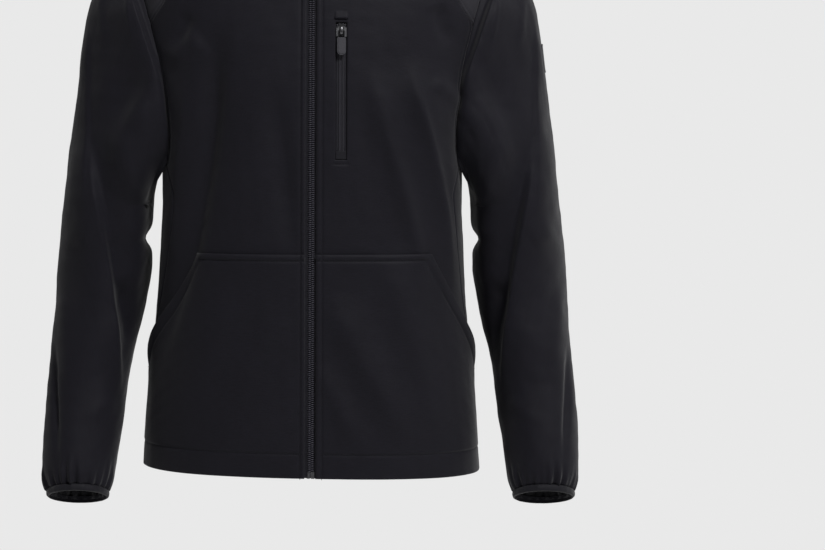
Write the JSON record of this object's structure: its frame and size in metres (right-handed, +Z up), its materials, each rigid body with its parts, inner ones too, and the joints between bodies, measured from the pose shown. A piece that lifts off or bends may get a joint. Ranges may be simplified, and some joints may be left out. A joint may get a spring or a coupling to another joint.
{
  "type": "fleece jacket",
  "caption": "Zip-through softshell fleece jacket in its worn form, hollow and open at neck, hem and cuffs, with stand collar, zipped chest pocket and slanted patch pockets.",
  "frame": {"origin": "middle of the neck opening at the height of the shoulders' highest points, where the jacket is held", "axes": "+X to the wearer's left, -Y the front of the jacket, +Z up"},
  "size_m": [0.6206, 0.281, 0.792],
  "materials": {
    "softshell": "near-black smooth-faced bonded fleece, matt",
    "yoke_cloth": "charcoal smooth-faced bonded fleece, matt",
    "binding": "black elastic binding",
    "zip": "black nylon coil on woven tape",
    "slider_metal": "plain grey die-cast metal",
    "tab": "dark grey moulded plastic"
  },
  "bodies": {
    "jacket": {"front_left": "softshell", "front_right": "softshell", "back": "softshell", "yoke_left": "yoke_cloth", "yoke_right": "yoke_cloth", "collar": "softshell", "sleeve_left": "softshell", "sleeve_right": "softshell", "cuff_left": "binding", "cuff_right": "binding", "pocket_left": "softshell", "pocket_right": "softshell", "front_zip": "zip", "zip_box": "slider_metal", "main_slider": "slider_metal", "chest_zip": "zip", "chest_garage": "softshell", "chest_slider": "slider_metal", "sleeve_patch": "yoke_cloth"},
    "main_pull": {"main_pull": "tab"},
    "chest_pull": {"chest_pull": "tab"}
  },
  "joints": [
    {"name": "main_pull_hinge", "type": "hinge", "parent": "jacket", "child": "main_pull", "pos_m": [0, -0.10391, -0.05109], "axis": [-1, 0, 0], "range_deg": [0, 150]},
    {"name": "chest_pull_hinge", "type": "hinge", "parent": "jacket", "child": "chest_pull", "pos_m": [0.03342, -0.1304, -0.17316], "axis": [-0.9987, -0.0511, 0], "range_deg": [0, 150]}
  ]
}
